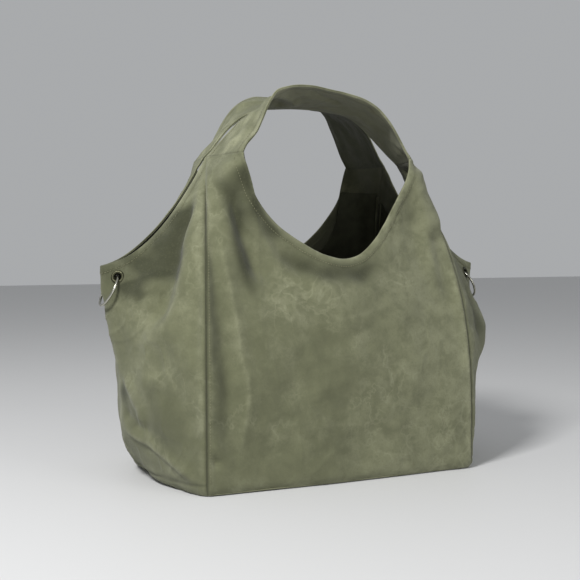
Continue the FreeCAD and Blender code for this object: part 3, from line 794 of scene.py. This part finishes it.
world = bpy.data.worlds.new("soft_room")
scene.world = world
world.use_nodes = True
world.node_tree.nodes["Background"].inputs["Color"].default_value = (0.86, 0.88, 0.90, 1.0)
world.node_tree.nodes["Background"].inputs["Strength"].default_value = 0.46


def lamp(name, place, target, size, power):
    """A square soft box aimed at a point."""
    light = bpy.data.lights.new(name, "AREA")
    light.size, light.energy = size, power
    made = bpy.data.objects.new(name, light)
    made.location = place
    made.rotation_mode = "QUATERNION"
    made.rotation_quaternion = (Vector(target) - Vector(place)).to_track_quat("-Z", "Y")
    scene.collection.objects.link(made)


lamp("key", (-1.36, -0.86, 1.75), (0.0, 0.0, 0.25), 0.45, 53.0)
lamp("fill", (1.1, -2.2, 0.8), (0.0, 0.0, 0.2), 1.2, 13.0)
lamp("low", (-0.7, -2.0, 0.25), (0.0, 0.0, 0.4), 1.0, 5.0)

# ------------ front and back panels
NECKS = {side: smooth_line([(x / 1000.0, EAR_TOP - d / 1000.0) for x, d in line], 90)
         for side, line in (("front", FRONT_NECK), ("back", BACK_NECK))}
HALF = 96                   # columns of cells in half a panel
ROWS = 124


def share_at(x, v):
    """The share u of the front's width at which it reaches x, by halving the range 40 times."""
    low, high = np.zeros_like(x), np.ones_like(x)
    for _ in range(40):
        middle = (low + high) / 2.0
        short = front(middle, v)[..., 0] < np.abs(x)
        low, high = np.where(short, middle, low), np.where(short, high, middle)
    return np.copysign(low, x)


def panel_lines(side):
    """Where a panel's columns start at the base and end at its top edge: along the left ear, the neckline
    and the right ear, evenly on each."""
    neck = NECKS[side]
    ear = 34
    line = smooth_line(neck, 2 * (HALF - ear) + 1)
    v = (line[:, 1] - CANVAS) / (EAR_TOP - CANVAS)
    v[[0, -1]] = 1.0
    u = share_at(line[:, 0], v)
    ears = np.linspace(0.0, 1.0, ear + 1)[:-1]
    top_u = np.concatenate([mix(-1.0, u[0], ears), u, mix(1.0, u[-1], ears)[::-1]])
    top_v = np.concatenate([np.ones(ear), v, np.ones(ear)])
    return np.linspace(-1.0, 1.0, len(top_u)), top_u, top_v


def panel_grid(side, surface, columns, low, high, short=0.0):
    """Points of the panel between two shares of each column's height, with finer columns along the seams.
    A lining stops short of the seams by a share of its width."""
    bottom_u, top_u, top_v = panel_lines(side)
    last = len(top_u) - 1.0
    at = np.linspace(0.0, last, columns) if columns else np.concatenate(
        [[0.0, 0.3, 0.65], np.arange(1.0, last), [last - 0.65, last - 0.3, last]])
    whole = np.arange(last + 1.0)
    bottom_u, top_u, top_v = (np.interp(at, whole, a)[:, None] for a in (bottom_u, top_u, top_v))
    low, high = low(top_v), high(top_v)
    t = mix(low, high, np.linspace(0.0, 1.0, ROWS)[None, :])
    u = mix(bottom_u, top_u, ease(t))
    u = u * (1.0 - short * ease((np.abs(u) - 0.75) / 0.25))
    return (u, t * top_v, *surface(u, t * top_v))


def panel_marks(side, u, p):
    """Wear along hems, seams, ridges and the bottom edge, with painted light that makes the front paler towards
    its right; dirt in the side seams; painted shade in the folds, and a dark line along each side seam."""
    x, z = p[..., 0], p[..., 2]
    edge = np.abs(from_line(x, z, NECKS[side])[0])
    seam = (1.0 - np.abs(u)) * PANEL_REACH
    below_ear = ease((SEAM_TOP - z) / 0.02)
    wear_and_light = 0.9 * np.exp(-(edge / 0.0035) ** 2) + 0.5 * np.exp(-((seam - 0.006) / 0.004) ** 2)
    wear_and_light = wear_and_light + 0.45 * np.exp(-(z / 0.010) ** 2)
    wear_and_light = wear_and_light * (0.6 + 0.4 * waves(p, 0.03, 5))
    wear_and_light = wear_and_light + folds(x, z, FRONT_WORN if side == "front" else BACK_WORN)
    # Painted light: the front panel is made paler towards its right side.
    if side == "front":
        wear_and_light = wear_and_light + 0.42 * ease((x + 0.03) / 0.17)
    dirt = np.exp(-(seam / 0.0018) ** 2) * below_ear + 0.25 * np.exp(-((edge - HEM) / 0.0016) ** 2)
    # Painted shade in the folds' hollows; below, a dark line along each side seam.
    shade_and_seam_dark = folds(x, z, FRONT_FOLD_SHADE if side == "front" else BACK_FOLD_SHADE)
    shade_and_seam_dark = shade_and_seam_dark * (0.85 + 0.15 * waves(p, 0.04, 7)) * ease(edge / 0.012 + 0.3)
    shade_and_seam_dark = shade_and_seam_dark + 1.1 * np.exp(-(seam / 0.0022) ** 2) * below_ear
    return {key: np.clip(mark, 0.0, 1.0) for key, mark in zip(("wear_and_light", "dirt", "shade_and_seam_dark"), (wear_and_light, dirt, shade_and_seam_dark))}


SPAN = EAR_TOP - CANVAS
for side in ("front", "back"):
    surface = panel(side)
    turn, flip, way = laid(side == "front", 1)
    u, v, outer, normals = panel_grid(side, surface, 0, lambda top: 0.0, lambda top: 1.0)
    marks = {key: flip(values) for key, values in panel_marks(side, u, outer).items()}
    piece = sheet_of(f"{side}_panel_canvas", turn(outer), turn(normals), 0.0, CANVAS, CANVAS_PAINT,
                     marks=marks, nodes=[f"{side}_panel"], slot="canvas")
    u, v, near, normals = panel_grid(side, surface, 0, lambda top: 1.0 - NECK_FACING_WIDTH / SPAN / top,
                                     lambda top: 1.0)
    marks = {key: flip(values[:, ::3]) for key, values in panel_marks(side, u, near).items()}
    sheet_of(f"{side}_neck_facing_cloth", turn(near[:, ::3]), turn(normals[:, ::3]), CANVAS + LAYER_GAP,
             FACING, SHADED_FACING_PAINT, marks=marks, nodes=[f"{side}_neck_facing"], slot="facing_canvas")
    neck = NECKS[side]
    below = unit(np.gradient(neck, axis=0))[:, ::-1] * (1.0, -1.0)
    low_line = neck + below * HEM
    low_line = low_line[(low_line[:, 1] < EAR_TOP - 0.002)]
    lv = (low_line[:, 1] - CANVAS) / SPAN
    path, facing = surface(share_at(low_line[:, 0], lv), lv)
    stitches(f"{side}_neckline_stitches", path * way, facing * way)
    for name, sign in (("left", -1.0), ("right", 1.0)):
        lv = np.linspace(0.035, 0.90, 120)
        path, facing = surface(np.full_like(lv, sign * (1.0 - 0.0048 / PANEL_REACH)), lv)
        stitches(f"{side}_{name}_seam_stitches", path * way, facing * way)
    hidden = NECK_FACING_WIDTH - LINING_UNDER_FACING
    u, v, deep, normals = panel_grid(side, surface, 141, lambda top: LINING_FOOT / SPAN,
                                     lambda top: 1.0 - hidden / SPAN / top, 0.03)
    sheet_of(f"{side}_lining_cloth", turn(deep[:, ::2]), turn(normals[:, ::2]), CANVAS + LINING_GAP, LINING,
             LINING_PAINT, nodes=[f"{side}_lining"], slot="lining_cloth")

# ------------ gussets
for side in ("left", "right"):
    surface = wing(side)
    turn, flip, way = laid(side == "right", 0)
    us = np.linspace(-1.0, 1.0, 221)
    us = np.sign(us) * np.abs(us) ** 1.25
    us = np.sort(np.concatenate([us, [-0.9965, -0.993, 0.993, 0.9965]]))
    vs = 1.0 - (1.0 - np.linspace(0.0, 1.0, 150)) ** 1.15
    u, v = us[:, None], vs[None, :]
    outer, normals = surface(u, v)
    eyelets = [gusset(-EYELET_U, EYELET_V), gusset(EYELET_U, EYELET_V)]
    keep = np.minimum(length(outer - eyelets[0]), length(outer - eyelets[1])) > HOLE_R
    seam, top = (1.0 - np.abs(u)) * GUSSET_REACH, (1.0 - v) * WING_TIP_Z
    y, z = outer[..., 1], outer[..., 2]
    wear_and_light = 0.9 * np.exp(-(top / 0.0035) ** 2) + 0.5 * np.exp(-((seam - 0.006) / 0.004) ** 2)
    wear_and_light = wear_and_light + 0.7 * np.exp(-(y / 0.005) ** 2) + 0.4 * np.exp(-(z / 0.010) ** 2)
    dirt = np.exp(-(seam / 0.0014) ** 2) * ease((SEAM_TOP - z) / 0.02)
    dirt = dirt + 0.25 * np.exp(-((top - HEM) / 0.0016) ** 2) + 0.6 * np.exp(-((z - 0.0125) / 0.0013) ** 2)
    # Painted shade in the gusset's folds and under its wing.
    shade_and_seam_dark = folds(y, z, LEFT_FOLD_SHADE if side == "left" else RIGHT_FOLD_SHADE)
    wear_and_light = wear_and_light + folds(y, z, LEFT_WORN if side == "left" else RIGHT_WORN)
    marks = {"wear_and_light": flip(np.clip(wear_and_light * (0.6 + 0.4 * waves(outer, 0.03, 6)), 0, 1)),
             "dirt": flip(np.clip(dirt, 0, 1)),
             "shade_and_seam_dark": flip(np.clip(shade_and_seam_dark * (0.8 + 0.2 * waves(outer, 0.04, 7)), 0, 1))}
    piece = sheet_of(f"{side}_gusset_canvas", turn(outer), turn(normals), 0.0, CANVAS, CANVAS_PAINT,
                     keep=flip(keep), marks=marks, nodes=[f"{side}_gusset"], slot="canvas")
    us_edge = np.linspace(-0.975, 0.975, 240)
    path, facing = surface(us_edge, np.full_like(us_edge, 1.0 - HEM / WING_TIP_Z))
    stitches(f"{side}_wing_stitches", path * way, facing * way)
    band = np.linspace(0.88, 1.0, 26)
    near, normals = surface(u, band[None, :])
    keep = np.minimum(length(near - eyelets[0]), length(near - eyelets[1])) > HOLE_R
    wear_and_light = 0.8 * np.exp(-((1.0 - band[None, :]) * WING_TIP_Z / 0.003) ** 2)
    sheet_of(f"{side}_gusset_facing_cloth", turn(near), turn(normals), CANVAS + LAYER_GAP, FACING,
             SHADED_FACING_PAINT, keep=flip(keep), marks={"wear_and_light": wear_and_light, "dirt": 0.0},
             nodes=[f"{side}_gusset_facing"], slot="facing_canvas")
    rows = np.linspace(LINING_FOOT / SPAN * EAR_TOP / WING_TIP_Z, 0.895, 90)
    deep, normals = surface(us[::2, None] * 0.97, rows[None, :])
    sheet_of(f"{side}_gusset_lining_cloth", turn(deep), turn(normals), CANVAS + LINING_GAP, LINING,
             LINING_PAINT, nodes=[f"{side}_gusset_lining"], slot="lining_cloth")

# ------------ handle
STRAP_STEPS = 200


def ear_edge(sign, rows):
    """The ear's top edge from the neckline's corner to the side seam, on the right or, for -1, the left."""
    corner = share_at(np.array([sign * 0.109]), np.array([1.0]))[0]
    return front(mix(corner, sign, rows), np.ones_like(rows))


def strap_grid(side):
    """Half the handle, built facing up with its rim towards -Y: ruled from rim to inner edge, bowed out
    in the legs, ending exactly on the ears' top edges."""
    rim, inner = (np.array(p, float) / 1000.0 for p in ((FRONT_RIM if side == "front" else BACK_RIM), INNER))
    rim[:, 1], inner[:, 1] = -np.abs(rim[:, 1]), -np.abs(inner[:, 1])
    rim, inner = smooth_line(rim, STRAP_STEPS + 1)[:, None], smooth_line(inner, STRAP_STEPS + 1)[:, None]
    v = np.concatenate([[0.0, 0.008, 0.025], np.linspace(0.05, 0.95, 40), [0.975, 0.992, 1.0]])
    u = np.linspace(-1.0, 1.0, STRAP_STEPS + 1)[:, None]
    p = mix(rim, inner, v[None, :, None])
    bow = 0.004 * arch(v) * ease(2.0 * np.abs(u) - 1.0)
    p[..., 0] += np.copysign(bow, u)
    top = 1.0 - ease(1.35 * np.abs(u) - 0.25)
    p[..., 2] += 0.0022 * np.cos(v * math.pi) * top
    for end, sign in ((0, -1.0), (-1, 1.0)):
        gap = ear_edge(sign, v) - p[end]
        weight = ease((sign * u - 0.78) / 0.22)
        p += gap[None] * weight[..., None]
    return u, v, p


# Lines across a strap in millimetres: x, and distance from its rim as a share of 80.
STRAP_FOLDS = {
    "front": [
        ([(-74, 8), (-44, 34), (-8, 62)], 6.0, 6.0, -3.2),
        ([(-80, 22), (-54, 46), (-28, 70)], 7.0, 7.0, 3.2),
        ([(-30, 6), (4, 26), (40, 44)], 6.0, 6.0, 2.6),
        ([(60, 4), (72, 30), (84, 60)], 7.0, 7.0, -2.6),
        ([(-100, 10), (-92, 40), (-96, 70)], 9.0, 9.0, 1.6),
        ([(88, 8), (98, 40), (112, 66)], 9.0, 9.0, 1.6),
    ],
    "back": [
        ([(-66, 8), (-30, 40), (10, 70)], 8.0, 8.0, 2.0),
        ([(20, 6), (52, 34), (84, 60)], 8.0, 8.0, -2.0),
        ([(66, 8), (88, 36), (104, 60)], 8.0, 8.0, 2.0),
    ],
}
for side, seed in (("front", 201), ("back", 239)):
    u, v, p = strap_grid(side)
    height = folds(p[..., 0], 0.08 * v[None, :] + 0.0 * p[..., 0], STRAP_FOLDS[side])
    height += 0.0009 * waves(p, 0.06, seed) + 0.0009 * creases(p, 0.045, seed + 1)
    height += 0.0004 * waves(p, 0.022, seed + 3)
    height *= ease((1.0 - np.abs(u)) / 0.10) * ease(v / 0.12 + 0.2) * ease((1.0 - v) / 0.16)
    across = length(p[:, -1] - p[:, 0])[:, None]
    rim, inner = v[None, :] * across, (1.0 - v[None, :]) * across
    hem = 0.0005 * ease((HEM + 0.001 - rim) / 0.002) + 0.0005 * ease((HEM + 0.001 - inner) / 0.002)
    height += hem * ease((1.0 - np.abs(u)) / 0.02)
    normals = grid_normals(p)
    outer = p + normals * height[..., None]
    wear_and_light = 0.9 * np.exp(-(rim / 0.0035) ** 2) + 0.7 * np.exp(-(inner / 0.0035) ** 2)
    # Painted light: the left legs of both straps are made paler.
    wear_and_light = wear_and_light + 0.35 * ease(1.4 * np.abs(u) - 0.5) + 0.75 * ease(-2.2 * u - 0.6)
    end = (1.0 - np.abs(u)) * STRAP_REACH
    dirt = 0.35 * np.exp(-((rim - HEM) / 0.0016) ** 2) + 0.35 * np.exp(-((inner - HEM) / 0.0016) ** 2)
    dirt = dirt + 0.45 * np.exp(-(end / 0.0022) ** 2)
    # Painted shade: the back strap darker from its middle to its right end, shown only on its lining.
    back_strap_shade = (side == "back") * ease((u + 0.2) / 0.4) * np.ones_like(dirt)
    marks = {"wear_and_light": np.clip(wear_and_light * (0.65 + 0.35 * waves(p, 0.03, 8)), 0, 1), "dirt": np.clip(dirt, 0, 1),
             "shade_and_seam_dark": back_strap_shade}
    turn, flip, way = laid(side == "front", 1)
    marks = {key: flip(np.broadcast_to(values, p.shape[:2])) for key, values in marks.items()}
    piece = sheet_of(f"{side}_strap_canvas", turn(outer), turn(normals), 0.0, CANVAS, STRAP_PAINT,
                     marks=marks | {"shade_and_seam_dark": 0.0 * marks["shade_and_seam_dark"]}, nodes=[f"{side}_strap"], slot="canvas")
    for name, at in (("rim", HEM / across), ("inner", 1.0 - HEM / across)):
        if name == "inner":
            at = np.where(np.abs(u) < 0.42, np.nan, at)
        row = np.searchsorted(v, np.clip(np.nan_to_num(at[:, 0], nan=0.5), v[1], v[-2]))
        share = ((np.nan_to_num(at[:, 0], nan=0.5) - v[row - 1]) / (v[row] - v[row - 1]))[:, None]
        k = np.arange(len(row))
        path = mix(outer[k, row - 1], outer[k, row], share)
        runs = [slice(3, -3)] if name == "rim" else [slice(3, 55), slice(-55, -3)]
        for number, run in enumerate(runs):
            stitches(f"{side}_strap_{name}_stitches_{number}", path[run] * way, normals[k, row][run] * way)
    sheet_of(f"{side}_strap_lining_canvas", turn(outer), turn(normals), CANVAS + 0.00005, STRAP_LINING,
             UNDER_PAINT, marks=marks, nodes=[f"{side}_strap_lining"], slot="facing_canvas")

# ------------ base
rows = np.linspace(-1.0, 1.0, 81)
a, b = rows[:, None], rows[None, :]
half_width = gusset(b, np.zeros_like(b))[..., 0]
half_depth = -front(a, np.zeros_like(a))[..., 1]
pull = 1.0 - BOTTOM_TUCK / 0.15
x, y = a * half_width * pull, b * half_depth * pull
edge = np.maximum(np.abs(a), np.abs(b))
z = 0.0016 + 0.0 * x + 0.0012 * ease((edge - 0.93) / 0.07)
upright = point(0.0 * x, 0.0, 1.0)
sheet_of("base_panel_canvas", point(x, y, z), upright, 0.0, CANVAS, CANVAS_PAINT,
         marks={"wear_and_light": 0.6 * ease((edge - 0.9) / 0.1), "dirt": 0.0 * x}, nodes=["base_panel"], slot="canvas")
low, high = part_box("base_lining")
corner = 0.018
x, y = a * high[0], b * high[1]
round_corner = np.clip(np.abs(y) - (high[1] - corner), 0.0, None) / corner
short = corner * (1.0 - np.sqrt(np.clip(1.0 - round_corner ** 2, 0.0, 1.0)))
x = a * (high[0] - short)
z = high[2] + 0.0 * x + 0.0004 * (waves(point(x, y, 0.0), 0.05, 301) * ease((1 - edge) / 0.1))
z = np.minimum(z, high[2] + 0.0009)
sheet_of("base_lining_cloth", point(x, y, z), upright, 0.0, LINING, LINING_PAINT, nodes=["base_lining"],
         slot="lining_cloth")

# ------------ metal
for name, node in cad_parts.items():
    paint = (STEEL_PAINT if name.endswith("_ring") else BOARD_PAINT if name == "base_board"
             else BRASS_PAINT if "eyelet" in name else None)
    if paint:
        for holder in node.material_slots:
            holder.material = paint
